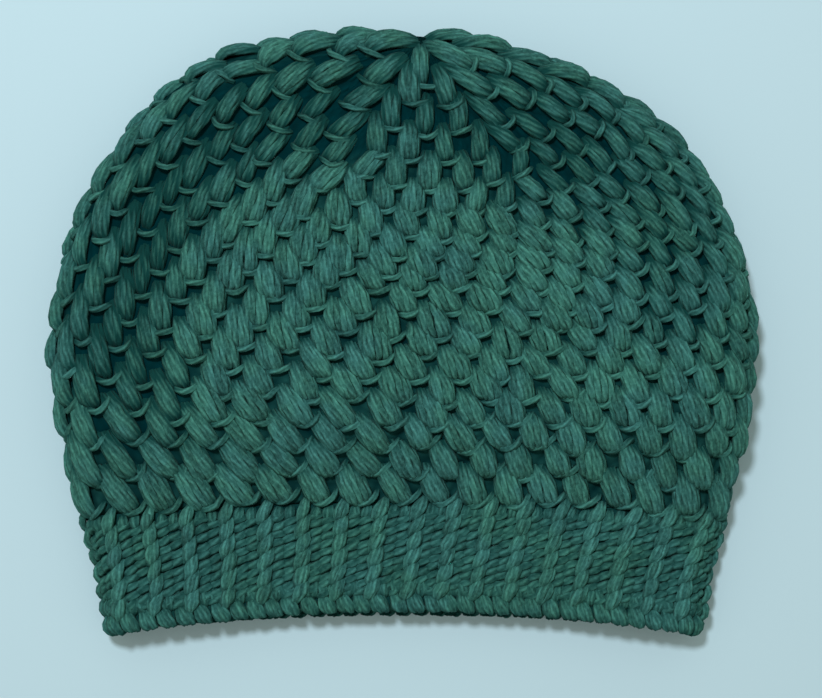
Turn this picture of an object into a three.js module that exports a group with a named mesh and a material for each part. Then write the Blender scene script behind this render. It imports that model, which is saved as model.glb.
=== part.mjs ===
// Slouchy beanie crocheted in puff stitch, with a ribbed band and a trimmed edge.
// It lies flat, as it does on a table. Millimetres, +Z up: the brim points to -Y,
// and the centre of the crown lies at the far edge, +Y.
// Each piece is turned open and round first, and laidPoint then lays it flat,
// so that neighbouring pieces follow one surface and meet all the way round.
import * as THREE from "three";

const { lerp, smoothstep, degToRad, radToDeg } = THREE.MathUtils;
const quarterTurn = Math.PI / 2;

// Outline seen from above. The widest line is y = 0 while the pieces are laid out.
const hatWidth = 264;
const domeLength = 128;
const domeSquareness = 2.3;
const domeLean = 13;
const leanPower = 5;
const crownOffset = 18;
const brimOffset = 2.5;
const skirtMiddle = 50.5;
const skirtSide = 56;
const bandLength = 33;
const edgingLength = 7.5;
const brimStretchRatio = 1.1;
const lowerFaceHang = 3;

// Thickness of the flattened hat and of its walls
const crownLoft = 32;
const bandLoft = 19;
const loftEase = 34;
const middleSag = 4;
const ridgeBreadth = 24;
const sagBreadth = 45;
const crownRoll = 6.5;
const sideRoll = 12.8;
const crownWall = 6;
const bandWall = 4.5;
const edgingWall = 4;
const jointGap = 0.3;

// Stitches
const roundCount = 19;
const sectorCount = 6;
const puffsPerRound = 36;
const puffRelief = 1.6;
const ribRelief = 1.2;
const nubsPerRib = 2;
const nubRelief = 0.9;
const nubEvenness = 0.6;
const scallopDepth = 1;

// Rounds are longest at the crown's centre: share of the rounds, share of the middle line.
const roundSpacing = [
  { rounds: 0, length: 0 },
  { rounds: 0.026, length: 0.079 },
  { rounds: 0.079, length: 0.137 },
  { rounds: 0.29, length: 0.374 },
  { rounds: 0.37, length: 0.4555 },
  { rounds: 0.5, length: 0.548 },
  { rounds: 0.75, length: 0.756 },
  { rounds: 0.868, length: 0.859 },
  { rounds: 0.974, length: 0.964 },
  { rounds: 1, length: 1 },
];

// Share of the rounds whose folded sides lie on the dome, how fast they go round it, and
// how flat each round runs across a face
const domeRounds = { left: 0.8, right: 0.75 };
const sideProgress = 0.88;
const roundFlatness = 1.12;

// How evenly a round's stitches are spread across a face, 1 for even: share of the
// crown's length, evenness.
const stitchSpread = [
  { length: 0, evenness: 0.2 },
  { length: 0.5, evenness: 0.72 },
  { length: 1, evenness: 1 },
];

// Each round stands a little further round than the one before: share of the rounds,
// number of stitches.
const stitchTwist = [
  { rounds: 0.29, stitches: 1.28 },
  { rounds: 0.553, stitches: 2.85 },
  { rounds: 1, stitches: 5.05 },
];

// Degrees from the middle to one puff of each of the first rounds, in which puffs are added.
const firstPuffBearings = [-13.5, 9.5, -6.5, 2.5, -3];

// How many rings of points the crown's inner wall has, and where the band's rings lie,
// as shares of its length.
const liningRings = 9;
const bandRings = [0, 0.12, 0.37, 0.63, 0.88, 1];

// The edging's two rounds: share of its length, share of the nubs' relief.
const edgingRings = [
  { length: 0, relief: 0 },
  { length: 0.3, relief: 1 },
  { length: 0.52, relief: -1 },
  { length: 0.8, relief: 1 },
];

// The sides below the widest line: share of the drop to the brim, share of half the width.
const sideTaper = [
  { drop: 0, width: 1 },
  { drop: 0.34, width: 0.957 },
  { drop: 0.56, width: 0.922 },
  { drop: 0.8, width: 0.87 },
  { drop: 1, width: 0.853 },
];

// Valleys in the upper face. Bearings are in degrees round the middle of the widest line,
// from +X. Inward and spread are shares of half the width, depth is a share of the loft.
const valleys = [
  { name: "left", bearing: 158, breadth: 48, inward: 0.21, spread: 0.1, depth: 0.18 },
  { name: "far", bearing: 98, breadth: 28, inward: 0.2, spread: 0.09, depth: 0.1 },
  { name: "right", bearing: 28, breadth: 40, inward: 0.22, spread: 0.11, depth: 0.085 },
  { name: "far right", bearing: 62, breadth: 22, inward: 0.3, spread: 0.1, depth: 0.07 },
];

const openRadius = hatWidth / Math.PI;
const brimRun = bandLength + edgingLength;
const topArc = rimArc(domeLength, crownLoft / 2);
const crownRun = topArc + skirtMiddle;
const crownEnd = crownRun - jointGap / 2;
const brimDrop = skirtSide + brimRun * brimStretchRatio;
const crownBearing = Math.atan2(domeLength, crownOffset);
const crownCentre = outlinePoint(crownBearing);

// Column `to` of a table at the place where column `from` has this value.
function readTable(table, from, to, value) {
  const next = table.findIndex((row) => row[from] >= value);
  if (next === 0) {
    return table[0][to];
  }
  if (next < 0) {
    return table[table.length - 1][to];
  }
  const before = table[next - 1];
  const after = table[next];
  return lerp(before[to], after[to], (value - before[from]) / (after[from] - before[from]));
}

// Length over a face from its middle to the rim at half height, where the rim is rolled.
function rimArc(reach, roll) {
  return reach - roll + roll * quarterTurn;
}

// The dome's outline is a squarish ellipse round the middle of the widest line.
function outlineReach(bearing) {
  const across = Math.abs(Math.cos(bearing)) / (hatWidth / 2);
  const along = Math.abs(Math.sin(bearing)) / domeLength;
  return (across ** domeSquareness + along ** domeSquareness) ** (-1 / domeSquareness);
}

function outlinePoint(bearing) {
  const reach = outlineReach(bearing);
  return { x: reach * Math.cos(bearing), y: reach * Math.sin(bearing) };
}

function halfWidthAt(y) {
  return (hatWidth / 2) * readTable(sideTaper, "drop", "width", -y / brimDrop);
}

function loftAt(y) {
  const joint = -skirtMiddle;
  return lerp(bandLoft, crownLoft, smoothstep(y, joint, joint + loftEase));
}

// Share of the crown's rounds that lie above this run, 1 at the band.
function roundsAt(run) {
  return readTable(roundSpacing, "length", "rounds", run / crownRun);
}

function runOfRound(round) {
  return crownRun * readTable(roundSpacing, "rounds", "length", round / roundCount);
}

// The two lines that a round passes through: the middle of a face and the folded side.
function middlePoint(run, face) {
  const below = run - topArc;
  const hang = face < 0 ? lowerFaceHang * (run / (crownRun + brimRun)) ** 2 : 0;
  return {
    x: lerp(crownCentre.x, brimOffset, run / (crownRun + brimRun)),
    y: (below < 0 ? (-crownCentre.y * below) / topArc : -below) - hang,
  };
}

function sidePoint(run, hand) {
  const rounds = roundsAt(run);
  const onDome = hand > 0 ? domeRounds.right : domeRounds.left;
  if (rounds < onDome) {
    const sideBearing = hand > 0 ? 0 : Math.PI;
    const progress = (rounds / onDome) ** sideProgress;
    return outlinePoint(lerp(crownBearing, sideBearing, progress));
  }
  const skirt = (skirtSide * (rounds - onDome)) / (1 - onDome);
  const y = -skirt - Math.max(run - crownRun, 0) * brimStretchRatio;
  return { x: hand * halfWidthAt(y), y };
}

// Where a stitch lies before the rim is rolled: turn 0 is the middle of the upper face,
// a quarter turn is the folded side, and run is the length from the crown's centre.
function sheetPoint(turn, run) {
  const wrapped = Math.atan2(Math.sin(turn), Math.cos(turn));
  const hand = wrapped < 0 ? -1 : 1;
  const quarters = Math.abs(wrapped) / quarterTurn;
  const face = quarters <= 1 ? 1 : -1;
  const aside = face > 0 ? quarters : 2 - quarters;
  const middle = middlePoint(run, face);
  const side = sidePoint(run, hand);
  const evenness = readTable(stitchSpread, "length", "evenness", run / crownRun);
  return {
    x: lerp(middle.x, side.x, lerp(Math.sin(aside * quarterTurn), aside, evenness)),
    y: lerp(middle.y, side.y, (1 - Math.cos(aside * quarterTurn)) ** roundFlatness),
    face,
  };
}

// How far the upper face lies below its ridge.
function sinkAt(x, y, inward) {
  const bearing = (radToDeg(Math.atan2(y, x)) + 360) % 360;
  const ease = loftAt(y) / crownLoft;
  let sink = middleSag * ease * smoothstep(inward, ridgeBreadth, ridgeBreadth + sagBreadth);
  for (const valley of valleys) {
    const offLine = (inward / (hatWidth / 2) - valley.inward) / valley.spread;
    const offBearing = (bearing - valley.bearing) / valley.breadth;
    sink += crownLoft * valley.depth * Math.exp(-(offLine ** 2) - offBearing ** 2) * ease ** 2;
  }
  return sink;
}

// How far the folded side is rolled onto the upper face, most of all halfway down.
function rollAt(run) {
  const below = roundsAt(run);
  const above = 1 - below;
  return crownRoll * above ** 2 + sideRoll * 4 * below * above;
}

// The point `inset` inside the hat's outer surface. `relief` stands out from the surface,
// and is pressed flat where the hat rests on its lower face.
function laidPoint(turn, run, inset, relief) {
  const sheet = sheetPoint(turn, run);
  const onDome = sheet.y > 0;
  const distance = onDome ? Math.hypot(sheet.x, sheet.y) : Math.abs(sheet.x);
  const reach = onDome ? outlineReach(Math.atan2(sheet.y, sheet.x)) : halfWidthAt(sheet.y);
  const loft = loftAt(sheet.y);
  const roll = loft / 2;
  const arc = rimArc(reach, roll);
  const share = Math.min(distance / reach, 1);
  const shift = rollAt(run) * share ** 2;
  const fromRim = sheet.face * (1 - share) * arc + shift;
  const upper = fromRim >= 0;
  const curl = Math.max(quarterTurn - Math.abs(fromRim) / roll, 0);
  const standing = upper ? 1 : 1 - Math.cos(curl);
  const depth = inset - relief * standing;
  const flatReach = Math.min(arc - Math.abs(fromRim), reach - roll);
  const laidReach = flatReach + (roll - depth) * Math.sin(curl);
  const stretch = distance > 0 ? laidReach / distance : 1;
  const x = sheet.x * stretch;
  const y = onDome ? sheet.y * stretch : sheet.y;
  const lean = domeLean * (Math.max(y, 0) / domeLength) ** leanPower;
  const height = upper ? loft - sinkAt(x, y, reach - laidReach) - roll : -roll;
  const z = roll + (height - Math.sign(height) * depth) * Math.cos(curl);
  return new THREE.Vector3(x - lean, y, z);
}

// A wall of the hat: rows go down the outside and back up the inside. Each row holds
// its run, its inset and, for the stitches, how relief and twist go with the turn.
function layShell(name, rows, columns) {
  const profile = rows.map((row) => {
    const radius = row.run > 0 ? openRadius - row.inset : 0;
    return new THREE.Vector2(radius, -row.run);
  });
  const shell = new THREE.LatheGeometry(profile, columns);
  const place = shell.getAttribute("position");
  for (let vertex = 0; vertex < place.count; vertex += 1) {
    const row = rows[vertex % rows.length];
    const column = Math.floor(vertex / rows.length) % columns;
    const turn = row.twist - (column / columns) * 2 * Math.PI;
    const run = row.run + (row.scallop ? row.scallop(turn) : 0);
    const relief = row.relief ? row.relief(turn) : 0;
    place.setXYZ(vertex, ...laidPoint(turn, run, row.inset, relief));
  }
  shell.computeVertexNormals();
  const yarn = new THREE.MeshStandardMaterial({ color: 0x2d5a53, roughness: 0.95, metalness: 0 });
  const piece = new THREE.Mesh(shell, yarn);
  piece.name = name;
  return piece;
}

function puffTwist(round) {
  const stitches = readTable(stitchTwist, "rounds", "stitches", round / roundCount);
  return (stitches * 2 * Math.PI) / puffsPerRound;
}

// The crown starts with one sector's puff each, gains a puff in every sector and round,
// and stays at full count from then on. Puffs of neighbouring rounds stand in brick bond.
function puffRow(index) {
  const puffs = Math.min(sectorCount * (index + 1), puffsPerRound);
  const twist = puffTwist(index + 0.5);
  const bond = (((index + 1) % 2) * Math.PI) / puffsPerRound;
  const firstRounds = index < firstPuffBearings.length;
  const puffTurn = firstRounds ? degToRad(firstPuffBearings[index]) : twist + bond;
  const relief = (turn) => puffRelief * Math.cos(puffs * (turn - puffTurn));
  return { run: runOfRound(index + 0.5), inset: 0, twist, relief };
}

function liningRow(share) {
  const round = share * roundCount;
  const run = share < 1 ? runOfRound(round) : crownEnd;
  return { run, inset: crownWall, twist: puffTwist(round) };
}

function buildCrown() {
  const centre = { run: 0, inset: 0, twist: 0 };
  const rows = [centre];
  for (let index = 0; index < roundCount; index += 1) {
    rows.push(puffRow(index));
  }
  rows.push({ run: crownEnd, inset: 0, twist: puffTwist(roundCount) });
  for (let ring = liningRings; ring > 0; ring -= 1) {
    rows.push(liningRow(ring / liningRings));
  }
  rows.push({ ...centre, inset: crownWall });
  return layShell("crown", rows, 2 * puffsPerRound);
}

// The ribs are front-post stitches, one below each puff of a full round.
function buildBand() {
  const columns = 4 * puffsPerRound;
  const start = crownRun + jointGap / 2;
  const end = crownRun + bandLength - jointGap / 2;
  const twist = puffTwist(roundCount);
  const ribs = (turn) => ribRelief * Math.cos(puffsPerRound * (turn - twist));
  const rows = [];
  for (const share of bandRings) {
    rows.push({ run: lerp(start, end, share), inset: 0, twist, relief: ribs });
  }
  for (const share of [1, 0.5, 0]) {
    rows.push({ run: lerp(start, end, share), inset: bandWall, twist });
  }
  rows.push(rows[0]);
  return layShell("band", rows, columns);
}

// Two low rounds below the ribs, the second one with a scalloped edge of small nubs.
function buildEdging() {
  const nubs = nubsPerRib * puffsPerRound;
  const start = crownRun + bandLength + jointGap / 2;
  const end = crownRun + brimRun - scallopDepth;
  const twist = puffTwist(roundCount);
  const wave = (turn) => Math.cos(nubs * (turn - twist));
  const scallop = (turn) => scallopDepth * wave(turn);
  const rows = [];
  for (const ring of edgingRings) {
    const relief = (turn) => nubRelief * ring.relief * lerp(wave(turn), 1, nubEvenness);
    rows.push({ run: lerp(start, end, ring.length), inset: 0, twist, relief });
  }
  rows.push({ run: end, inset: edgingWall / 2, twist, scallop });
  const lastRing = edgingRings[edgingRings.length - 1];
  rows.push({ run: lerp(start, end, lastRing.length), inset: edgingWall, twist });
  rows.push({ run: start, inset: edgingWall, twist });
  rows.push(rows[0]);
  return layShell("edging", rows, 2 * nubs);
}

// The origin is the bottom centre of the whole hat.
const beanie = new THREE.Group();
beanie.add(buildCrown(), buildBand(), buildEdging());
const box = new THREE.Box3().setFromObject(beanie);
const centre = box.getCenter(new THREE.Vector3());
beanie.position.set(-centre.x, -centre.y, -box.min.z);

export default beanie;
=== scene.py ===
# A slouchy beanie crocheted in puff stitch, lying flat on a pale floor.
# Every stitch is made of strands of yarn, laid over the same surface as the CAD solids.
import bpy
import math
import random
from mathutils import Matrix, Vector


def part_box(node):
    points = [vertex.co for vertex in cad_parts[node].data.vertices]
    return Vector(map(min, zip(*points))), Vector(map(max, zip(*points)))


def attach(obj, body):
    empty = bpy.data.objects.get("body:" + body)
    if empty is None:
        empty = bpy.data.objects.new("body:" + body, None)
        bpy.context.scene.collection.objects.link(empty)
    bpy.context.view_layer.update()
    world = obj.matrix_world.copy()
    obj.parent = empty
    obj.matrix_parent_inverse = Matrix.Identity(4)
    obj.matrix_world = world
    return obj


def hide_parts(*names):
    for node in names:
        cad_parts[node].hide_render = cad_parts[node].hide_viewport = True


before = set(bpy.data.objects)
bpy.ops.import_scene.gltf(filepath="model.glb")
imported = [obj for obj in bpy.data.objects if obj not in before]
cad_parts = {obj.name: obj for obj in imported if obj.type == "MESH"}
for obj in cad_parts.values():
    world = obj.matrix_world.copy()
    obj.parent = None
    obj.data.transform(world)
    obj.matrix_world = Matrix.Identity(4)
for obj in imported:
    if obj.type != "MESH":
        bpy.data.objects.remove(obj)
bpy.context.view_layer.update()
print("frame loaded")

mm = 0.001
quarterTurn = math.pi / 2

# The hat is a tube of stitches laid flat. Turn 0 is the middle of the upper face and a
# quarter turn is the folded side. Run is the length from the crown's centre, in mm.
hat = {
    "width": 264,
    "dome": 128,
    "squareness": 2.3,
    "lean": 13,
    "leanPower": 5,
    "crownOffset": 18,
    "brimOffset": 2.5,
    "skirtMiddle": 50.5,
    "skirtSide": 56,
    "band": 33,
    "edging": 7.5,
    "brimStretch": 1.1,
    "lowerHang": 3,
    "crownLoft": 32,
    "bandLoft": 19,
    "loftEase": 34,
    "sag": 4,
    "ridge": 24,
    "sagBreadth": 45,
    "crownRoll": 6.5,
    "sideRoll": 12.8,
    "rounds": 19,
    "sectors": 6,
    "puffs": 36,
    "domeRoundsLeft": 0.8,
    "domeRoundsRight": 0.75,
    "sideProgress": 0.88,
    "roundFlatness": 1.12,
    "firstBearings": [-13.5, 9.5, -6.5, 2.5, -3],
}
roundSpacing = [
    {"rounds": 0, "length": 0},
    {"rounds": 0.026, "length": 0.079},
    {"rounds": 0.079, "length": 0.137},
    {"rounds": 0.29, "length": 0.374},
    {"rounds": 0.37, "length": 0.4555},
    {"rounds": 0.5, "length": 0.548},
    {"rounds": 0.75, "length": 0.756},
    {"rounds": 0.868, "length": 0.859},
    {"rounds": 0.974, "length": 0.964},
    {"rounds": 1, "length": 1},
]
stitchSpread = [
    {"length": 0, "evenness": 0.2},
    {"length": 0.5, "evenness": 0.72},
    {"length": 1, "evenness": 1},
]
stitchTwist = [
    {"rounds": 0.29, "stitches": 1.28},
    {"rounds": 0.553, "stitches": 2.85},
    {"rounds": 1, "stitches": 5.05},
]
sideTaper = [
    {"drop": 0, "width": 1},
    {"drop": 0.34, "width": 0.957},
    {"drop": 0.56, "width": 0.922},
    {"drop": 0.8, "width": 0.87},
    {"drop": 1, "width": 0.853},
]
valleys = [
    {"bearing": 158, "breadth": 48, "inward": 0.21, "spread": 0.1, "depth": 0.18},
    {"bearing": 98, "breadth": 28, "inward": 0.2, "spread": 0.09, "depth": 0.1},
    {"bearing": 28, "breadth": 40, "inward": 0.22, "spread": 0.11, "depth": 0.085},
    {"bearing": 62, "breadth": 22, "inward": 0.3, "spread": 0.1, "depth": 0.07},
]


def lerp(a, b, share):
    return a + (b - a) * share


def clamp(value, low, high):
    return min(max(value, low), high)


def smoothstep(value, low, high):
    share = clamp((value - low) / (high - low), 0, 1)
    return share * share * (3 - 2 * share)


def readTable(table, source, target, value):
    for before, after in zip(table, table[1:]):
        if value <= after[source]:
            break
    share = (value - before[source]) / (after[source] - before[source])
    return lerp(before[target], after[target], clamp(share, 0, 1))


def rimArc(reach, roll):
    return reach - roll + roll * quarterTurn


def outlineReach(bearing):
    across = abs(math.cos(bearing)) / (hat["width"] / 2)
    along = abs(math.sin(bearing)) / hat["dome"]
    power = hat["squareness"]
    return (across**power + along**power) ** (-1 / power)


def outlinePoint(bearing):
    reach = outlineReach(bearing)
    return reach * math.cos(bearing), reach * math.sin(bearing)


topArc = rimArc(hat["dome"], hat["crownLoft"] / 2)
crownRun = topArc + hat["skirtMiddle"]
brimRun = hat["band"] + hat["edging"]
brimDrop = hat["skirtSide"] + brimRun * hat["brimStretch"]
crownBearing = math.atan2(hat["dome"], hat["crownOffset"])
crownCentre = outlinePoint(crownBearing)
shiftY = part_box("edging")[0][1] / mm + brimDrop  # the frame's origin is the hat's middle


def halfWidthAt(y):
    return hat["width"] / 2 * readTable(sideTaper, "drop", "width", -y / brimDrop)


def loftAt(y):
    joint = -hat["skirtMiddle"]
    return lerp(hat["bandLoft"], hat["crownLoft"], smoothstep(y, joint, joint + hat["loftEase"]))


def roundsAt(run):
    return readTable(roundSpacing, "length", "rounds", run / crownRun)


def runOfRound(roundNumber):
    return crownRun * readTable(roundSpacing, "rounds", "length", roundNumber / hat["rounds"])


def middlePoint(run, face):
    below = run - topArc
    share = run / (crownRun + brimRun)
    hang = hat["lowerHang"] * share**2 if face < 0 else 0
    y = -crownCentre[1] * below / topArc if below < 0 else -below
    return lerp(crownCentre[0], hat["brimOffset"], share), y - hang


def sidePoint(run, hand):
    rounds = roundsAt(run)
    onDome = hat["domeRoundsRight"] if hand > 0 else hat["domeRoundsLeft"]
    if rounds < onDome:
        sideBearing = 0 if hand > 0 else math.pi
        return outlinePoint(lerp(crownBearing, sideBearing, (rounds / onDome) ** hat["sideProgress"]))
    skirt = hat["skirtSide"] * (rounds - onDome) / (1 - onDome)
    y = -skirt - max(run - crownRun, 0) * hat["brimStretch"]
    return hand * halfWidthAt(y), y


def sheetPoint(turn, run):
    wrapped = math.atan2(math.sin(turn), math.cos(turn))
    hand = -1 if wrapped < 0 else 1
    quarters = abs(wrapped) / quarterTurn
    face = 1 if quarters <= 1 else -1
    aside = quarters if face > 0 else 2 - quarters
    middle = middlePoint(run, face)
    side = sidePoint(run, hand)
    evenness = readTable(stitchSpread, "length", "evenness", run / crownRun)
    x = lerp(middle[0], side[0], lerp(math.sin(aside * quarterTurn), aside, evenness))
    y = lerp(middle[1], side[1], (1 - math.cos(aside * quarterTurn)) ** hat["roundFlatness"])
    return x, y, face


def valleyAt(x, y, inward, widened=1):
    bearing = math.degrees(math.atan2(y, x)) % 360
    depth = 0
    for valley in valleys:
        offLine = (inward / (hat["width"] / 2) - valley["inward"]) / (valley["spread"] * widened)
        offBearing = (bearing - valley["bearing"]) / valley["breadth"]
        depth += hat["crownLoft"] * valley["depth"] * math.exp(-(offLine**2) - offBearing**2)
    return depth * (loftAt(y) / hat["crownLoft"]) ** 2


def sinkAt(x, y, inward):
    ease = loftAt(y) / hat["crownLoft"]
    sag = hat["sag"] * ease * smoothstep(inward, hat["ridge"], hat["ridge"] + hat["sagBreadth"])
    return sag + valleyAt(x, y, inward)


# How far a place is from the dome's middle, or the skirt's middle line, and how far the rim is
def reachAt(x, y):
    if y > 0:
        return math.hypot(x, y), outlineReach(math.atan2(y, x))
    return abs(x), halfWidthAt(y)


# How far the folded side is rolled onto the upper face
def rollAt(run):
    below = roundsAt(run)
    return hat["crownRoll"] * (1 - below) ** 2 + hat["sideRoll"] * 4 * below * (1 - below)


def laid(turn, run, inset=0.0):
    sheetX, sheetY, face = sheetPoint(turn, run)
    distance, reach = reachAt(sheetX, sheetY)
    loft = loftAt(sheetY)
    roll = loft / 2
    arc = rimArc(reach, roll)
    share = min(distance / reach, 1)
    shift = rollAt(run) * share**2
    fromRim = face * (1 - share) * arc + shift
    curl = max(quarterTurn - abs(fromRim) / roll, 0)
    flatReach = min(arc - abs(fromRim), reach - roll)
    laidReach = flatReach + (roll - inset) * math.sin(curl)
    stretch = laidReach / distance if distance > 0 else 1
    x = sheetX * stretch
    y = sheetY * stretch if sheetY > 0 else sheetY
    if fromRim >= 0:
        z = roll + (loft - sinkAt(x, y, reach - laidReach) - roll - inset) * math.cos(curl)
    else:
        z = roll - (roll - inset) * math.cos(curl)
    x -= hat["lean"] * (max(y, 0) / hat["dome"]) ** hat["leanPower"]
    return Vector((x, y + shiftY, z))


# The directions on the surface at a stitch, sideways, down the hat and outwards, and how many
# millimetres a turn of one radian covers there
def frameAt(turn, run):
    step = 0.5
    turnStep = step * math.pi / hat["width"]
    high = max(run - step, 0)
    side = laid(turn + turnStep, run) - laid(turn - turnStep, run)
    down = laid(turn, run + step) - laid(turn, high)
    out = laid(turn, run) - laid(turn, run, 1)
    spread = side.length / (2 * turnStep)
    out -= down.normalized() * out.dot(down.normalized())
    side = down.cross(out) if down.cross(out).dot(side) > 0 else out.cross(down)
    return side.normalized(), down.normalized(), out.normalized(), spread


def twistAt(roundNumber):
    stitches = readTable(stitchTwist, "rounds", "stitches", roundNumber / hat["rounds"])
    return stitches * 2 * math.pi / hat["puffs"]


def puffCount(roundIndex):
    return min(hat["sectors"] * (roundIndex + 1), hat["puffs"])


# The puffs of neighbouring rounds stand in brick bond.
def puffTurn(roundIndex, index):
    if roundIndex < len(hat["firstBearings"]):
        first = math.radians(hat["firstBearings"][roundIndex])
    else:
        first = twistAt(roundIndex + 0.5) + ((roundIndex + 1) % 2) * math.pi / hat["puffs"]
    return first + index * 2 * math.pi / puffCount(roundIndex)


# The gap in a round that lies nearest to this turn
def gapTurn(roundIndex, turn):
    pitch = 2 * math.pi / puffCount(roundIndex)
    first = puffTurn(roundIndex, 0) + pitch / 2
    return first + round((turn - first) / pitch) * pitch


# Short ways to add nodes and to join them
def addNode(tree, kind, **settings):
    node = tree.nodes.new(kind)
    for name, value in settings.items():
        setattr(node, name, value)
    return node


def feed(tree, node, **sources):
    for name, source in sources.items():
        socket = node.inputs[int(name[1:])] if name[1:].isdigit() else node.inputs[name]
        if isinstance(source, bpy.types.NodeSocket):
            tree.links.new(source, socket)
        else:
            socket.default_value = source
    return node


def calc(tree, operation, *values):
    node = addNode(tree, "ShaderNodeMath", operation=operation)
    feed(tree, node, **{f"_{place}": value for place, value in enumerate(values)})
    return node.outputs[0]


def scaled(tree, vector, amount):
    node = addNode(tree, "ShaderNodeVectorMath", operation="SCALE")
    feed(tree, node, Vector=vector, Scale=amount)
    return node.outputs[0]


def added(tree, first, second):
    node = addNode(tree, "ShaderNodeVectorMath", operation="ADD")
    feed(tree, node, _0=first, _1=second)
    return node.outputs[0]


def mixed(tree, first, second, share):
    node = addNode(tree, "ShaderNodeMix", data_type="VECTOR")
    feed(tree, node, _0=share, _4=first, _5=second)
    return node.outputs[1]


def mixedColour(tree, first, second, share):
    node = addNode(tree, "ShaderNodeMix", data_type="RGBA")
    feed(tree, node, _0=share, _6=first, _7=second)
    return node.outputs[2]


def eased(tree, value, low, high, first, last):
    node = addNode(tree, "ShaderNodeMapRange", interpolation_type="SMOOTHSTEP")
    feed(tree, node, _0=value, _1=low, _2=high, _3=first, _4=last)
    return node.outputs[0]


# A cubic curve through mixes of its four control values
def curved(tree, values, share):
    while len(values) > 1:
        values = [mixed(tree, first, second, share) for first, second in zip(values, values[1:])]
    return values[0]


def attribute(tree, name, kind="FLOAT_VECTOR"):
    node = addNode(tree, "GeometryNodeInputNamedAttribute", data_type=kind)
    node.inputs["Name"].default_value = name
    return node.outputs["Attribute"]


def store(tree, geometry, name, value, kind="FLOAT"):
    node = addNode(tree, "GeometryNodeStoreNamedAttribute", data_type=kind, domain="POINT")
    feed(tree, node, Geometry=geometry, Name=name, Value=value)
    return node.outputs["Geometry"]


strandForm = {
    "fullness": 0.7,
    "noiseOffset": 0.013,
    "twistOffset": 0.02,
    "taperPower": 0.35,
    "thinnest": 0.8,
    "swell": 0.2,
}


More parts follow.
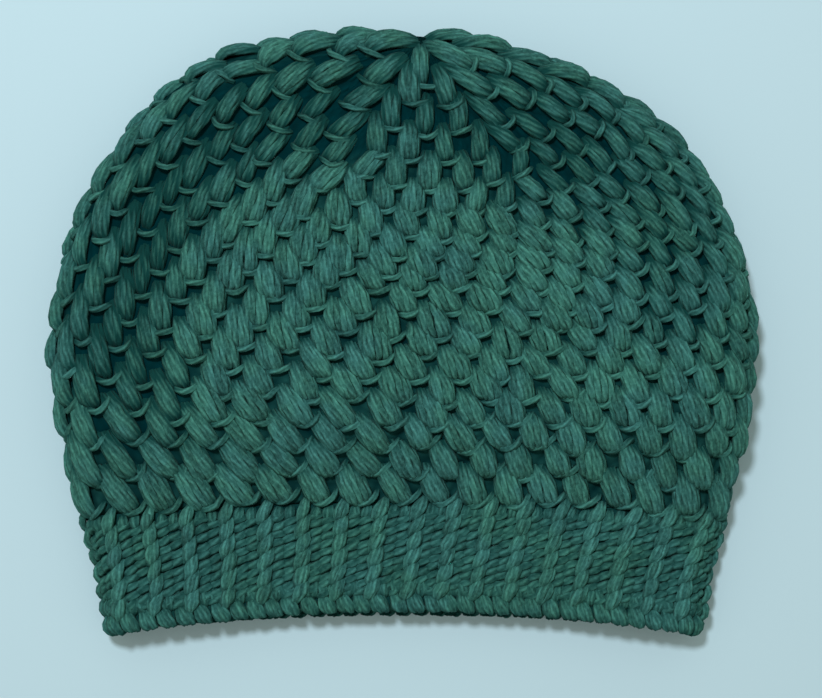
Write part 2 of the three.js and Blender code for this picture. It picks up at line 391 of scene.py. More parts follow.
# A tree that lays strands of yarn in a bundle along each carrier point's own curve
def makeYarnTree():
    tree = bpy.data.node_groups.new("Yarn bundles", "GeometryNodeTree")
    sockets = tree.interface
    sockets.new_socket("Geometry", in_out="INPUT", socket_type="NodeSocketGeometry")
    inputs = [
        ("Steps", "NodeSocketInt", 8),
        ("Sides", "NodeSocketInt", 6),
        ("Yarn Radius", "NodeSocketFloat", 0.001),
        ("Fan", "NodeSocketFloat", 3.4),
        ("Gather", "NodeSocketFloat", 0.4),
        ("End Gather", "NodeSocketFloat", 0.7),
        ("Full From", "NodeSocketFloat", 0.5),
        ("Full To", "NodeSocketFloat", 0.5),
        ("Wobble", "NodeSocketFloat", 0.0003),
        ("Wander", "NodeSocketFloat", 0.001),
        ("Wander Scale", "NodeSocketFloat", 240),
        ("Seed", "NodeSocketInt", 0),
        ("Material", "NodeSocketMaterial", None),
    ]
    for name, kind, value in inputs:
        socket = sockets.new_socket(name, in_out="INPUT", socket_type=kind)
        if value is not None:
            socket.default_value = value
    sockets.new_socket("Geometry", in_out="OUTPUT", socket_type="NodeSocketGeometry")
    given = addNode(tree, "NodeGroupInput").outputs
    result = addNode(tree, "NodeGroupOutput")

    # One point for each strand, then a straight line on each point
    copies = addNode(tree, "GeometryNodeDuplicateElements", domain="POINT")
    strands = attribute(tree, "strands", "FLOAT")
    feed(tree, copies, Geometry=given["Geometry"], Amount=strands)
    index = addNode(tree, "GeometryNodeInputIndex").outputs[0]
    points = store(tree, copies.outputs["Geometry"], "strand", copies.outputs["Duplicate Index"])
    points = store(tree, points, "number", index)
    line = addNode(tree, "GeometryNodeCurvePrimitiveLine")
    count = calc(tree, "ADD", given["Steps"], 1)
    resampled = addNode(tree, "GeometryNodeResampleCurve")
    feed(tree, resampled, Curve=line.outputs["Curve"], Count=count)
    placed = addNode(tree, "GeometryNodeInstanceOnPoints")
    feed(tree, placed, Points=points, Instance=resampled.outputs["Curve"])
    real = addNode(tree, "GeometryNodeRealizeInstances")
    feed(tree, real, Geometry=placed.outputs["Instances"])

    # The carrier's curve, with the strands fanned round its upper side
    along = addNode(tree, "GeometryNodeSplineParameter").outputs["Factor"]
    spine = curved(tree, [attribute(tree, f"p{place}") for place in range(4)], along)
    inset = curved(tree, [attribute(tree, f"inset{place}") for place in range(4)], along)
    strand = attribute(tree, "strand", "FLOAT")
    share = calc(tree, "DIVIDE", calc(tree, "ADD", strand, 0.5), strands)
    angle = calc(tree, "MULTIPLY", calc(tree, "SUBTRACT", share, 0.5), given["Fan"])
    rise = eased(tree, along, 0.0, given["Full From"], given["Gather"], 1.0)
    fall = eased(tree, along, given["Full To"], 1.0, 1.0, given["End Gather"])
    girth = calc(tree, "MULTIPLY", rise, fall)
    wide = calc(tree, "MULTIPLY", attribute(tree, "wide", "FLOAT"), girth)
    tall = calc(tree, "MULTIPLY", attribute(tree, "tall", "FLOAT"), girth)
    sideways = calc(tree, "MULTIPLY", wide, calc(tree, "SINE", angle))
    aside = scaled(tree, attribute(tree, "side"), sideways)
    upright = calc(tree, "MAXIMUM", calc(tree, "COSINE", angle), 0.0)
    level = calc(tree, "POWER", upright, strandForm["fullness"])
    height = calc(tree, "MULTIPLY", tall, level)
    above = scaled(tree, attribute(tree, "out"), height)
    # How deep each strand point lies below the surface; the shader paints shade from it
    depth = calc(tree, "SUBTRACT", calc(tree, "MULTIPLY", inset, mm), height)
    bundle = added(tree, spine, added(tree, aside, above))

    # Each strand strays a little from its neighbours, wanders on its way and stays above the floor
    number = attribute(tree, "number", "FLOAT")
    stray = addNode(tree, "FunctionNodeRandomValue", data_type="FLOAT_VECTOR")
    feed(tree, stray, Min=(-1.0, -1.0, -1.0), Max=(1.0, 1.0, 1.0), ID=number, Seed=given["Seed"])
    hump = calc(tree, "SINE", calc(tree, "MULTIPLY", along, math.pi))
    strayed = scaled(tree, stray.outputs[0], calc(tree, "MULTIPLY", given["Wobble"], hump))
    own = addNode(tree, "ShaderNodeCombineXYZ")
    feed(tree, own, X=calc(tree, "MULTIPLY", number, strandForm["noiseOffset"]))
    noise = addNode(tree, "ShaderNodeTexNoise")
    sampled = added(tree, bundle, own.outputs[0])
    feed(tree, noise, Vector=sampled, Scale=given["Wander Scale"], Detail=1.0)
    centred = added(tree, noise.outputs["Color"], (-0.5, -0.5, -0.5))
    wandered = scaled(tree, centred, given["Wander"])
    place = added(tree, added(tree, bundle, strayed), wandered)
    split = addNode(tree, "ShaderNodeSeparateXYZ")
    feed(tree, split, Vector=place)
    ground = calc(tree, "MAXIMUM", split.outputs["Z"], given["Yarn Radius"])
    joined = addNode(tree, "ShaderNodeCombineXYZ")
    feed(tree, joined, X=split.outputs["X"], Y=split.outputs["Y"], Z=ground)
    moved = addNode(tree, "GeometryNodeSetPosition")
    feed(tree, moved, Geometry=real.outputs["Geometry"], Position=joined.outputs["Vector"])

    # What the shader reads, stored on the strand and on its section
    length = addNode(tree, "GeometryNodeSplineParameter").outputs["Length"]
    offset = addNode(tree, "FunctionNodeRandomValue", data_type="FLOAT")
    feed(tree, offset, _2=0.0, _3=1.0, ID=number, Seed=given["Seed"])
    tone = offset.outputs[1]
    laidOut = store(tree, moved.outputs["Geometry"], "tone", tone)
    laidOut = store(tree, laidOut, "depth", depth)
    runAlong = calc(tree, "ADD", length, calc(tree, "MULTIPLY", tone, strandForm["twistOffset"]))
    laidOut = store(tree, laidOut, "along", runAlong)
    circle = addNode(tree, "GeometryNodeCurvePrimitiveCircle")
    feed(tree, circle, Resolution=given["Sides"], Radius=given["Yarn Radius"])
    circled = addNode(tree, "GeometryNodeSplineParameter").outputs["Factor"]
    around = calc(tree, "MULTIPLY", circled, 2 * math.pi)
    bearing = addNode(tree, "ShaderNodeCombineXYZ")
    feed(tree, bearing, X=calc(tree, "COSINE", around), Y=calc(tree, "SINE", around))
    section = store(tree, circle.outputs["Curve"], "around", bearing.outputs[0], "FLOAT_VECTOR")
    taper = calc(tree, "POWER", calc(tree, "MAXIMUM", hump, 0.0), strandForm["taperPower"])
    swell = calc(tree, "MULTIPLY", taper, strandForm["swell"])
    thick = calc(tree, "ADD", swell, strandForm["thinnest"])
    swept = addNode(tree, "GeometryNodeCurveToMesh")
    feed(tree, swept, Curve=laidOut, **{"Profile Curve": section, "Scale": thick, "Fill Caps": True})
    smooth = addNode(tree, "GeometryNodeSetShadeSmooth")
    feed(tree, smooth, Geometry=swept.outputs["Mesh"])
    whole = addNode(tree, "GeometryNodeRealizeInstances")
    feed(tree, whole, Geometry=smooth.outputs["Geometry"])
    coloured = addNode(tree, "GeometryNodeSetMaterial")
    feed(tree, coloured, Geometry=whole.outputs["Geometry"], Material=given["Material"])
    feed(tree, result, Geometry=coloured.outputs["Geometry"])
    return tree


yarnTree = makeYarnTree()
print("yarn tree made")


# Makes a piece of yarn from its carriers: points, directions, sizes in mm, strand counts
def layYarn(name, carriers, settings, material):
    points = bpy.data.meshes.new(name + "_carriers")
    points.from_pydata([carrier["points"][0] * mm for carrier in carriers], [], [])
    vectors = {}
    for place in range(4):
        vectors[f"p{place}"] = [carrier["points"][place] * mm for carrier in carriers]
        vectors[f"inset{place}"] = [[carrier["insets"][place]] * 3 for carrier in carriers]
    vectors["side"] = [carrier["side"] for carrier in carriers]
    vectors["out"] = [carrier["out"] for carrier in carriers]
    for key, values in vectors.items():
        layer = points.attributes.new(key, "FLOAT_VECTOR", "POINT")
        layer.data.foreach_set("vector", [number for value in values for number in value])
    numbers = {
        "wide": [carrier["wide"] * mm for carrier in carriers],
        "tall": [carrier["tall"] * mm for carrier in carriers],
        "strands": [float(carrier["strands"]) for carrier in carriers],
    }
    for key, values in numbers.items():
        points.attributes.new(key, "FLOAT", "POINT").data.foreach_set("value", values)
    piece = bpy.data.objects.new(name, points)
    bpy.context.scene.collection.objects.link(piece)
    modifier = piece.modifiers.new("Yarn", "NODES")
    modifier.node_group = yarnTree
    for item in yarnTree.interface.items_tree:
        if item.in_out == "INPUT" and item.name in settings:
            modifier[item.identifier] = settings[item.name]
        if item.in_out == "INPUT" and item.name == "Material":
            modifier[item.identifier] = material
    ready = piece.evaluated_get(bpy.context.evaluated_depsgraph_get())
    mesh = bpy.data.meshes.new_from_object(ready)
    piece.modifiers.clear()
    piece.data = mesh
    mesh.name = name
    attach(piece, "root")
    triangles = sum(len(face.vertices) - 2 for face in mesh.polygons)
    print(f"{name}: {len(carriers)} stitches, {triangles} triangles")
    return piece


yarnLook = {
    "ridgePower": 0.8,
    "fibreStretch": 420.0,
    "fibreScale": 2.2,
    "driftScale": 45.0,
    "driftRange": (0.38, 0.62),
    "patchScale": 500.0,
    "strandTone": 0.45,
    "middleTone": 0.72,
    "shadeDepthRange": (-0.0014, 0.0036),
    "fibreHeight": 0.3,
    "plyHeight": 0.7,
}


# Plies, fibres and uneven dye that follow the strands, with painted shade in the ply grooves and deep
# between the stitches, from the piece's attributes and Object coordinates
def makeYarnShade():
    shade = bpy.data.node_groups.new("Plied yarn", "ShaderNodeTree")
    sockets = shade.interface
    inputs = [
        ("Green Dye", "NodeSocketColor", (0.05, 0.19, 0.145, 1)),
        ("Blue Dye", "NodeSocketColor", (0.045, 0.175, 0.165, 1)),
        ("Deep Dye", "NodeSocketColor", (0.002, 0.045, 0.036, 1)),
        ("Plies", "NodeSocketFloat", 4),
        ("Ply Pitch", "NodeSocketFloat", 0.007),
        ("Groove Shade", "NodeSocketFloat", 0.4),
        ("Fibre Shade", "NodeSocketFloat", 0.3),
        ("Unevenness", "NodeSocketFloat", 0.3),
    ]
    for name, kind, value in inputs:
        sockets.new_socket(name, in_out="INPUT", socket_type=kind).default_value = value
    sockets.new_socket("Color", in_out="OUTPUT", socket_type="NodeSocketColor")
    sockets.new_socket("Height", in_out="OUTPUT", socket_type="NodeSocketFloat")
    given = addNode(shade, "NodeGroupInput").outputs
    result = addNode(shade, "NodeGroupOutput")
    around = addNode(shade, "ShaderNodeAttribute", attribute_name="around").outputs["Vector"]
    along = addNode(shade, "ShaderNodeAttribute", attribute_name="along").outputs["Fac"]
    tone = addNode(shade, "ShaderNodeAttribute", attribute_name="tone").outputs["Fac"]
    depth = addNode(shade, "ShaderNodeAttribute", attribute_name="depth").outputs["Fac"]
    split = addNode(shade, "ShaderNodeSeparateXYZ")
    feed(shade, split, Vector=around)
    angle = calc(shade, "ARCTAN2", split.outputs["Y"], split.outputs["X"])
    travel = calc(shade, "DIVIDE", calc(shade, "MULTIPLY", along, 2 * math.pi), given["Ply Pitch"])
    turned = calc(shade, "ADD", calc(shade, "MULTIPLY", angle, given["Plies"]), travel)
    wave = calc(shade, "MULTIPLY", calc(shade, "SINE", turned), 0.5)
    ridge = calc(shade, "POWER", calc(shade, "ADD", wave, 0.5), yarnLook["ridgePower"])

    # Fibres are drawn out along the strand.
    drawn = addNode(shade, "ShaderNodeCombineXYZ")
    stretched = calc(shade, "MULTIPLY", along, yarnLook["fibreStretch"])
    feed(shade, drawn, X=split.outputs["X"], Y=split.outputs["Y"], Z=stretched)
    fibres = addNode(shade, "ShaderNodeTexNoise")
    fibreScale = yarnLook["fibreScale"]
    feed(shade, fibres, Vector=drawn.outputs[0], Scale=fibreScale, Detail=3.0, Roughness=0.7)

    # The dye drifts between green and blue over the hat and in strength from strand to strand.
    place = addNode(shade, "ShaderNodeTexCoord").outputs["Object"]
    drift = addNode(shade, "ShaderNodeTexNoise")
    feed(shade, drift, Vector=place, Scale=yarnLook["driftScale"], Detail=3.0, Roughness=0.6)
    blue = eased(shade, drift.outputs["Fac"], *yarnLook["driftRange"], 0.0, 1.0)
    hue = mixedColour(shade, given["Green Dye"], given["Blue Dye"], blue)
    patches = addNode(shade, "ShaderNodeTexNoise")
    feed(shade, patches, Vector=place, Scale=yarnLook["patchScale"], Detail=2.0, Roughness=0.6)
    toned = calc(shade, "MULTIPLY", tone, yarnLook["strandTone"])
    strength = calc(shade, "ADD", toned, patches.outputs["Fac"])
    centred = calc(shade, "SUBTRACT", strength, yarnLook["middleTone"])
    faded = calc(shade, "MULTIPLY", centred, given["Unevenness"])
    fleck = calc(shade, "SUBTRACT", fibres.outputs["Fac"], 0.5)
    flecked = calc(shade, "MULTIPLY", fleck, given["Fibre Shade"])
    light = calc(shade, "ADD", calc(shade, "ADD", faded, flecked), 1.0)
    lit = scaled(shade, hue, light)

    # Painted shade: the ply grooves and whatever lies deep between the stitches are mixed toward the
    # deep shade colour.
    paintedDepthShade = eased(shade, depth, *yarnLook["shadeDepthRange"], 0.0, 1.0)
    paintedGrooveShade = calc(shade, "MULTIPLY", calc(shade, "SUBTRACT", 1.0, ridge), given["Groove Shade"])
    colour = mixedColour(shade, lit, given["Deep Dye"], calc(shade, "ADD", paintedDepthShade, paintedGrooveShade))
    softness = calc(shade, "MULTIPLY", fibres.outputs["Fac"], yarnLook["fibreHeight"])
    plies = calc(shade, "MULTIPLY", ridge, yarnLook["plyHeight"])
    height = calc(shade, "ADD", plies, softness)
    feed(shade, result, Color=colour, Height=height)
    return shade


yarnShade = makeYarnShade()


def newMaterial(name):
    material = bpy.data.materials.new(name)
    material.use_nodes = True
    return material, material.node_tree, material.node_tree.nodes["Principled BSDF"]


def makeYarnMaterial(name, settings):
    material, tree, surface = newMaterial(name)
    yarn = addNode(tree, "ShaderNodeGroup", node_tree=yarnShade)
    feed(tree, yarn, **settings["shade"])
    bump = addNode(tree, "ShaderNodeBump")
    feed(tree, bump, Height=yarn.outputs["Height"], Distance=settings["bump"], Strength=1.0)
    feed(tree, surface, **{"Base Color": yarn.outputs["Color"], "Normal": bump.outputs["Normal"]})
    surface.inputs["Roughness"].default_value = settings["roughness"]
    surface.inputs["Sheen Weight"].default_value = settings["sheen"]
    surface.inputs["Sheen Roughness"].default_value = 0.5
    surface.inputs["Sheen Tint"].default_value = settings["sheenTint"]
    surface.inputs["Specular IOR Level"].default_value = 0.04
    material.diffuse_color = settings["shade"]["Green Dye"]
    return material


crownYarn = makeYarnMaterial("crown_yarn", {
    "shade": {
        "Green Dye": (0.059, 0.2, 0.152, 1),
        "Blue Dye": (0.055, 0.187, 0.164, 1),
        # Painted shade: the colour that grooves and deep places between the stitches are mixed toward
        "Deep Dye": (0.006, 0.052, 0.045, 1),
        "Plies": 3.0,
        "Ply Pitch": 0.008,
        "Groove Shade": 0.42,
        "Fibre Shade": 1.7,
        "Unevenness": 1.2,
    },
    "bump": 0.0006,
    "roughness": 0.9,
    "sheen": 0.06,
    "sheenTint": (0.4, 0.85, 0.75, 1),
})
print("yarn materials made")


# Places on the surface, given in mm aside and ahead of a stitch
def near(turn, run, spread, aside, ahead, inset):
    return laid(turn + aside / spread, max(run + ahead, 0.0), inset)


# How much painted shade a long dent in the upper face adds to its stitches, besides the dent's real
# depth, and how much broader the painted shade is
hollow = {"shade": 0.25, "widened": 1.7}


def hollowAt(place, out):
    if out.z <= 0:
        return 0
    x, y = place.x, place.y - shiftY
    distance, reach = reachAt(x, y)
    return valleyAt(x, y, reach - distance, hollow["widened"])


# A carrier's depths, which set only how much painted shade its strands get, count the hollow that it
# lies in as well as its own insets.
def makeCarrier(points, insets, side, out, wide, tall, strands):
    # Painted shade from the dent that the stitch lies in
    paintedSunkShade = hollow["shade"] * hollowAt(points[1], out)
    depths = [inset + paintedSunkShade for inset in insets]
    carrier = {"points": points, "insets": depths, "side": side, "out": out}
    return {**carrier, "wide": wide, "tall": tall, "strands": strands}


puff = {
    "halfLength": 2.7,
    "halfShare": 0.3,
    "neck": 2.4,
    "firstNeck": 4,
    "neckRounds": (0, 4),
    "overshoot": (0.15, 0.35),
    "overshootRounds": (2, 7),
    "lowOvershoot": 0.2,
    "baseShare": 0.65,
    "shortestRun": 0.3,
    "widest": 4.95,
    "share": 0.36,
    "narrowing": 0.075,
    "tallest": 3.1,
    "tallShare": 0.8,
    "tallExtra": 0.3,
    "strands": 6,
    "fewest": 4,
    "strandWidths": (2, 4),
    "undersideFrom": -0.8,
    "lowRounds": (11, 17),
    "steps": [0, 0.3, 0.93, 1],
    "insets": [3.8, 0.9, -1.4, 4.8],
    "yarn": 1.4,
    "sizeVariety": 0.12,
    "placeVariety": 1.2,
    "riseVariety": 0.6,
    "seed": 11,
}
loop = {
    "insets": [2.6, -1.4, -2.3, 2.2],
    "fullStitch": 14,
    "aside": [-3.6, 0.2, 3.6, 7.0],
    "ahead": [0.4, 1.8, 1.0, -2.6],
    "lowAside": [-3.0, 1.0, 4.8, 7.4],
    "lowAhead": [0.2, 1.8, 0.2, -4.6],
    "wobble": 0.0008,
}


def makePuffs(firstRound, lastRound):
    variety = random.Random(puff["seed"] + firstRound)
    puffs = []
    loops = []
    for roundIndex in range(firstRound, lastRound):
        count = puffCount(roundIndex)
        pitch = 2 * math.pi / count
        middle = runOfRound(roundIndex + 0.5)
        length = runOfRound(roundIndex + 1) - runOfRound(roundIndex)
        half = puff["halfLength"] + puff["halfShare"] * length
        low = smoothstep(roundIndex, *puff["lowRounds"])
        overshoot = lerp(*puff["overshoot"], smoothstep(roundIndex, *puff["overshootRounds"]))
        overshoot += puff["lowOvershoot"] * low
        neck = lerp(puff["firstNeck"], puff["neck"], smoothstep(roundIndex, *puff["neckRounds"]))
        for index in range(count):
            turn = puffTurn(roundIndex, index)
            side, down, out, spread = frameAt(turn, middle)
            stitch = spread * pitch
            sway = variety.uniform(-1, 1) * puff["placeVariety"] / max(spread, 1)
            gap = gapTurn(roundIndex - 1, turn) if roundIndex else turn
            drift = variety.uniform(-1, 1) * puff["placeVariety"] / max(spread, 1)
            baseTurn = lerp(turn, gap, lerp(puff["baseShare"], 1, low)) + drift
            endTurn = lerp(turn, gap, -overshoot) + sway
            baseRun = max(middle - half - neck, puff["shortestRun"])
            endRun = middle + half + variety.uniform(-1, 1) * puff["placeVariety"]
            points = []
            raised = variety.uniform(-1, 1) * puff["riseVariety"]
            for share, inset in zip(puff["steps"], puff["insets"]):
                pointTurn = lerp(baseTurn, endTurn, share)
                points.append(laid(pointTurn, lerp(baseRun, endRun, share), inset - raised))
            size = 1 + variety.uniform(-1, 1) * puff["sizeVariety"]
            size -= puff["narrowing"] * hollowAt(laid(turn, middle), out)
            wide = min(puff["widest"], puff["share"] * stitch) * size - puff["yarn"] / 2
            tall = min(puff["tallest"], puff["tallShare"] * wide + puff["tallExtra"]) * size
            fullness = smoothstep(wide, *puff["strandWidths"])
            strands = round(lerp(puff["fewest"], puff["strands"], fullness))
            if out.z < puff["undersideFrom"]:
                strands = puff["fewest"]
            puffs.append(makeCarrier(points, puff["insets"], side, out, wide, tall, strands))
            scale = min(1, stitch / loop["fullStitch"])
            line = []
            for step, inset in enumerate(loop["insets"]):
                aside = lerp(loop["aside"][step], loop["lowAside"][step], low) * scale
                ahead = lerp(loop["ahead"][step], loop["lowAhead"][step], low) * scale
                line.append(near(endTurn, endRun, spread, aside, ahead, inset))
            loops.append(makeCarrier(line, loop["insets"], down, out, 0, 0, 1))
    return puffs, loops


bundle = {
    "Steps": 8,
    "Sides": 6,
    "Yarn Radius": puff["yarn"] * mm,
    "Fan": 3.35,
    "Gather": 0.7,
    "End Gather": 0.74,
    "Full From": 0.45,
    "Full To": 0.7,
    "Wobble": 0.0003,
    "Wander": 0.0016,
    "Wander Scale": 240.0,
    "Seed": 3,
}
puffParts = [
    {"name": "top", "first": 0, "last": 9, "loopRadius": 1.1},
    {"name": "middle", "first": 9, "last": 14, "loopRadius": 1.2},
    {"name": "low", "first": 14, "last": 19, "loopRadius": 1.25},
]
for part in puffParts:
    puffs, loops = makePuffs(part["first"], part["last"])
    piece = layYarn("puffs_" + part["name"], puffs, bundle, crownYarn)
    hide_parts("crown")
    single = {**bundle, "Yarn Radius": part["loopRadius"] * mm, "Wobble": loop["wobble"]}
    piece = layYarn("loops_" + part["name"], loops, single, crownYarn)
    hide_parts("crown")


# The band: front-post ribs, slanted strands between them and two nubs at each gap's top
rib = {
    "stitches": 5.5,
    "first": 0.4,
    "length": 8.4,
    "slant": 0.15,
    "slantVariety": (0.8, 1.2),
    "lean": -0.15,
    "insets": [1.6, -1.3, -1.3, 1.4],
    "wide": 1.7,
    "tall": 1.4,
    "strands": 3,
    "seed": 21,
}
rung = {
    "first": 5.5,
    "pitch": 3.0,
    "stagger": 0.25,
    "placeVariety": 0.4,
    "reach": 0.32,
    "gathered": 0.6,
    "rise": 1.0,
    "insets": [1.8, -0.3, -0.3, 1.8],
    "yarn": 1.6,
    "seed": 22,
}
topNub = {
    "run": 3.4,
    "apart": 2.3,
    "length": 5.0,
    "lean": 0.8,
    "insets": [3.0, 0.3, 0.3, 3.0],
    "wide": 1.2,
    "tall": 0.9,
    "strands": 3,
}
ribPitch = 2 * math.pi / hat["puffs"]
thirds = (0, 1 / 3, 2 / 3, 1)


def ribTurn(index, ahead):
    return twistAt(hat["rounds"]) + (index + rib["lean"] * ahead / hat["band"]) * ribPitch


def makeRibs():
    variety = random.Random(rib["seed"])
    ribs = []
    step = hat["band"] / rib["stitches"]
    for index in range(hat["puffs"]):
        for stitch in range(math.ceil(rib["stitches"])):
            ahead = (stitch + rib["first"]) * step
            turn = ribTurn(index, ahead)
            side, _, out, _ = frameAt(turn, crownRun + ahead)
            slant = rib["slant"] * ribPitch * variety.uniform(*rib["slantVariety"])
            points = []
            for share, inset in zip(thirds, rib["insets"]):
                run = crownRun + ahead + lerp(-0.5, 0.5, share) * rib["length"]
                points.append(laid(turn + lerp(slant, -slant, share), run, inset))
            size = rib["wide"], rib["tall"], rib["strands"]
            ribs.append(makeCarrier(points, rib["insets"], side, out, *size))
    return ribs


def makeRungs():
    variety = random.Random(rung["seed"])
    rungs = []
    for index in range(hat["puffs"]):
        for step in range(round(hat["band"] / rung["pitch"]) - 1):
            for hand in (-1, 1):
                level = rung["first"] + (step + hand * rung["stagger"]) * rung["pitch"]
                ahead = level + variety.uniform(-rung["placeVariety"], rung["placeVariety"])
                turn = ribTurn(index + 0.5 + hand * rung["reach"] / 2, ahead)
                _, down, out, _ = frameAt(turn, crownRun + ahead)
                points = []
                for share, inset in zip(thirds, rung["insets"]):
                    aside = lerp(-rung["reach"], rung["reach"], share) * ribPitch * rung["gathered"]
                    run = crownRun + ahead + lerp(rung["rise"], -rung["rise"], share)
                    points.append(laid(turn + aside, run, inset))
                rungs.append(makeCarrier(points, rung["insets"], down, out, 0, 0, 1))
    return rungs


def makeTopNubs():
    nubs = []
    for index in range(hat["puffs"]):
        turn = ribTurn(index + 0.5, topNub["run"])
        side, _, out, spread = frameAt(turn, crownRun + topNub["run"])
        for hand in (-1, 1):
            points = []
            for share, inset in zip(thirds, topNub["insets"]):
                ahead = topNub["run"] + lerp(-0.5, 0.5, share) * topNub["length"]
                aside = hand * topNub["apart"] + lerp(topNub["lean"], -topNub["lean"], share)
                points.append(near(turn, crownRun + ahead, spread, aside, 0, inset))
            size = topNub["wide"], topNub["tall"], topNub["strands"]
            nubs.append(makeCarrier(points, topNub["insets"], side, out, *size))
    return nubs


ribBundle = {
    **bundle,
    "Steps": 6,
    "Fan": 2.6,
    "Gather": 0.4,
    "End Gather": 0.4,
    "Full From": 0.5,
    "Full To": 0.5,
}
rungBundle = {**bundle, "Steps": 6, "Yarn Radius": rung["yarn"] * mm}
for name, carriers, settings in (
    ("band_ribs", makeRibs(), ribBundle),
    ("band_rungs", makeRungs(), rungBundle),
    ("band_nubs", makeTopNubs(), ribBundle),
):
    piece = layYarn(name, carriers, settings, crownYarn)
    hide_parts("band")


# The edging: a round of small slanted stitches, then a round of nubs that wrap the rim
edgeSlant = {
    "run": 32.2,
    "length": 6.4,
    "apart": 1.6,
    "slant": 1.3,
    "gathered": 0.6,
    "insets": [2.8, 0.2, 0.2, 2.8],
    "wide": 1.2,
    "tall": 0.8,
    "strands": 2,
}
edgeNub = {
    "perRib": 2,
    "first": 0.25,
    "placeVariety": 0.4,
    "seed": 31,
    "asides": [-1.6, -0.6, 0.8, 1.2],
    "runs": [33.8, 37.0, 41.6, 40.2],
    "insets": [2.6, -0.5, 0.4, 4.2],
    "wide": 2.6,
    "tall": 1.4,
    "strands": 4,
}


def makeEdging():
    variety = random.Random(edgeNub["seed"])
    slants = []
    nubs = []
    for index in range(edgeNub["perRib"] * hat["puffs"]):
        turn = ribTurn(index / edgeNub["perRib"] + edgeNub["first"], hat["band"])
        side, _, out, spread = frameAt(turn, crownRun + edgeSlant["run"])
        for hand in (-1, 1):
            points = []
            for share, inset in zip(thirds, edgeSlant["insets"]):
                ahead = edgeSlant["run"] + lerp(-0.5, 0.5, share) * edgeSlant["length"]
                slanted = lerp(hand, -hand, share) * edgeSlant["slant"] * edgeSlant["gathered"]
                aside = hand * edgeSlant["apart"] + slanted
                points.append(near(turn, crownRun + ahead, spread, aside, 0, inset))
            size = edgeSlant["wide"], edgeSlant["tall"], edgeSlant["strands"]
            slants.append(makeCarrier(points, edgeSlant["insets"], side, out, *size))
        points = []
        sway = variety.uniform(-edgeNub["placeVariety"], edgeNub["placeVariety"])
        for aside, ahead, inset in zip(edgeNub["asides"], edgeNub["runs"], edgeNub["insets"]):
            points.append(near(turn, crownRun + ahead, spread, aside + sway, 0, inset))
        size = edgeNub["wide"], edgeNub["tall"], edgeNub["strands"]
        nubs.append(makeCarrier(points, edgeNub["insets"], side, out, *size))
    return slants, nubs


edgeBundle = {**ribBundle, "Gather": 0.5, "End Gather": 0.6}
slants, nubs = makeEdging()
for name, carriers in (("edging_slants", slants), ("edging_nubs", nubs)):
    piece = layYarn(name, carriers, edgeBundle, crownYarn)
    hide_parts("edging")


# The close backs of the stitches, which show inside the hat and deep between the stitches, where they
# carry painted shade
backing = {
    "columnsPerPuff": 4,
    "joint": 0.15,
    "brimEnd": 1.5,
    "rim": 0.1,
    "fullShadeHollow": 2.4,
    "sideShade": 0.9,
    "crown": {"outside": 2.7, "inside": 5.6, "rings": 60},
    "band": {"outside": 1.7, "inside": 4.5, "rings": 12},
    "edging": {"outside": 1.8, "inside": 4.0, "rings": 4},
    "innerYarn": (0.045, 0.16, 0.13, 1),
    "innerGapShade": (0.01, 0.06, 0.05, 1),
    "outerShadedYarn": (0.018, 0.095, 0.08, 1),
    "valleyPaintedShade": (0.001, 0.036, 0.04, 1),
    "outerGapShade": (0.001, 0.02, 0.022, 1),
    "cellScale": 250.0,
    "bump": 0.0015,
}


def makeLiningMaterial():
    material, tree, surface = newMaterial("stitch_backs")
    cloth = addNode(tree, "ShaderNodeAttribute", attribute_name="cloth").outputs["Vector"]
    inner = addNode(tree, "ShaderNodeAttribute", attribute_name="inner").outputs["Fac"]
    valley = addNode(tree, "ShaderNodeAttribute", attribute_name="valley").outputs["Fac"]
    cells = addNode(tree, "ShaderNodeTexVoronoi", feature="SMOOTH_F1")
    feed(tree, cells, Vector=cloth, Scale=backing["cellScale"], Smoothness=0.4)
    distance = cells.outputs["Distance"]
    # Painted shade: the outside is darker than the yarn, darker still in the dents and toward the
    # folded sides (the valley attribute) and in the gaps between cells; inside, the gaps between
    # cells are painted darker too
    within = mixedColour(tree, backing["innerYarn"], backing["innerGapShade"], distance)
    paintedShadeBetween = mixedColour(tree, backing["outerShadedYarn"], backing["valleyPaintedShade"], valley)
    paintedSunkShade = mixedColour(tree, paintedShadeBetween, backing["outerGapShade"], distance)
    shown = mixedColour(tree, paintedSunkShade, within, inner)
    bump = addNode(tree, "ShaderNodeBump", invert=True)
    feed(tree, bump, Height=distance, Distance=backing["bump"], Strength=1.0)
    feed(tree, surface, **{"Base Color": shown, "Normal": bump.outputs["Normal"]})
    surface.inputs["Roughness"].default_value = 0.95
    surface.inputs["Specular IOR Level"].default_value = 0.0
    return material


lining = makeLiningMaterial()


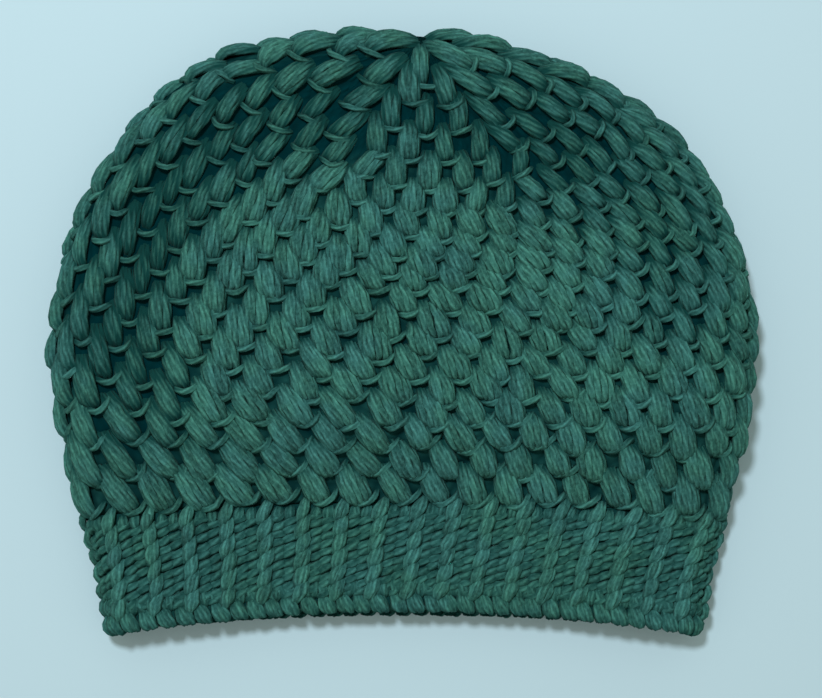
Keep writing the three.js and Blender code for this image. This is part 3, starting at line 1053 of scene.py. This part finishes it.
def layBacking(name, node, start, end, outside, inside, rings):
    columns = backing["columnsPerPuff"] * hat["puffs"]
    upward = Vector((0, 0, 1))
    rows = [(lerp(start, end, ring / rings), outside) for ring in range(rings + 1)]
    rows += [(lerp(end, start, ring / rings), inside) for ring in range(rings + 1)]
    vertices = []
    coordinates = []
    inner = []
    paintedShades = []
    rowStarts = []
    radius = hat["width"] / math.pi * mm
    for run, inset in rows:
        rowStarts.append(len(vertices))
        for column in range(columns if run > 0 else 1):
            turn = 2 * math.pi * column / columns
            place = laid(turn, run)
            loft = loftAt(0 if run < topArc else topArc - run)
            level = min(abs(2 * place.z / loft - 1), 1)
            closer = lerp(backing["rim"], 1, level) if inset == outside else 1
            vertices.append(laid(turn, run, inset * closer) * mm)
            coordinates.append((radius * math.cos(turn), radius * math.sin(turn), run * mm))
            inner.append(float(inset == inside))
            # Painted shade share, from the dents and toward the folded sides, stored as the valley
            # attribute
            paintedSunkShade = hollowAt(place, upward) / backing["fullShadeHollow"]
            paintedShades.append(max(paintedSunkShade, backing["sideShade"] * (1 - level)))
    faces = []
    pairs = list(zip(range(len(rows)), range(1, len(rows))))
    if start > 0:
        pairs.append((len(rows) - 1, 0))
    for upper, lower in pairs:
        for column in range(columns):
            after = (column + 1) % columns
            corners = []
            for row, spot in ((upper, column), (lower, column), (lower, after), (upper, after)):
                corners.append(rowStarts[row] + (spot if rows[row][0] > 0 else 0))
            face = list(dict.fromkeys(corners))
            if len(face) > 2:
                faces.append(face)
    mesh = bpy.data.meshes.new(name)
    mesh.from_pydata(vertices, [], faces)
    layer = mesh.attributes.new("cloth", "FLOAT_VECTOR", "POINT")
    layer.data.foreach_set("vector", [number for value in coordinates for number in value])
    mesh.attributes.new("inner", "FLOAT", "POINT").data.foreach_set("value", inner)
    mesh.attributes.new("valley", "FLOAT", "POINT").data.foreach_set("value", paintedShades)
    mesh.shade_smooth()
    mesh.materials.append(lining)
    piece = bpy.data.objects.new(name, mesh)
    bpy.context.scene.collection.objects.link(piece)
    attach(piece, "root")
    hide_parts(node)


bandEnd = crownRun + hat["band"]
edgingEnd = crownRun + brimRun - backing["brimEnd"]
joint = backing["joint"]
layBacking("crown_back", "crown", 0, crownRun - joint, **backing["crown"])
layBacking("band_back", "band", crownRun + joint, bandEnd - joint, **backing["band"])
layBacking("edging_back", "edging", bandEnd + joint, edgingEnd, **backing["edging"])
print("backings made")

# Floor, light and camera
stage = {
    "floor": (0.63, 0.79, 0.83, 1),
    "floorReach": 3.0,
    "fill": (0.87, 0.94, 0.88, 1),
    "fillStrength": 0.42,
}
floorMesh = bpy.data.meshes.new("floor")
far = stage["floorReach"]
floorCorners = [(-far, -far, 0), (far, -far, 0), (far, far, 0), (-far, far, 0)]
floorMesh.from_pydata(floorCorners, [], [(0, 1, 2, 3)])
floor = bpy.data.objects.new("floor", floorMesh)
bpy.context.scene.collection.objects.link(floor)
floorPaint, _, floorSurface = newMaterial("floor_paint")
floorSurface.inputs["Base Color"].default_value = stage["floor"]
floorSurface.inputs["Roughness"].default_value = 0.9
floorMesh.materials.append(floorPaint)

world = bpy.data.worlds.new("soft_fill")
world.use_nodes = True
fill = world.node_tree.nodes["Background"]
fill.inputs["Color"].default_value = stage["fill"]
fill.inputs["Strength"].default_value = stage["fillStrength"]
bpy.context.scene.world = world

lamp = {
    "place": (-0.18, 0.36, 1.05),
    "aim": (0.0, 0.0, 0.01),
    "size": 0.16,
    "watts": 7.6,
    "colour": (0.8, 0.9, 1),
}
light = bpy.data.lights.new("key", "AREA")
light.shape = "DISK"
light.size = lamp["size"]
light.energy = lamp["watts"]
light.color = lamp["colour"]
holder = bpy.data.objects.new("key", light)
holder.location = lamp["place"]
beam = Vector(lamp["aim"]) - Vector(lamp["place"])
holder.rotation_euler = beam.to_track_quat("-Z", "Y").to_euler()
bpy.context.scene.collection.objects.link(holder)

shot = {
    "aim": (0.0029, -0.0065, 0.016),
    "elevation": 88.5,
    "distance": 0.65,
    "pixel": 0.00038,
    "pixels": 822,
    "sensor": 36,
}
camera = bpy.data.objects.new("camera", bpy.data.cameras.new("camera"))
camera.data.sensor_width = shot["sensor"]
camera.data.lens = shot["sensor"] * shot["distance"] / (shot["pixel"] * shot["pixels"])
elevation = math.radians(shot["elevation"])
sight = Vector((0, -math.cos(elevation), math.sin(elevation)))
camera.location = Vector(shot["aim"]) + shot["distance"] * sight
camera.rotation_euler = (quarterTurn - elevation, 0, 0)
bpy.context.scene.collection.objects.link(camera)
bpy.context.scene.camera = camera
bpy.context.scene.view_settings.view_transform = "Standard"
print("stage set")
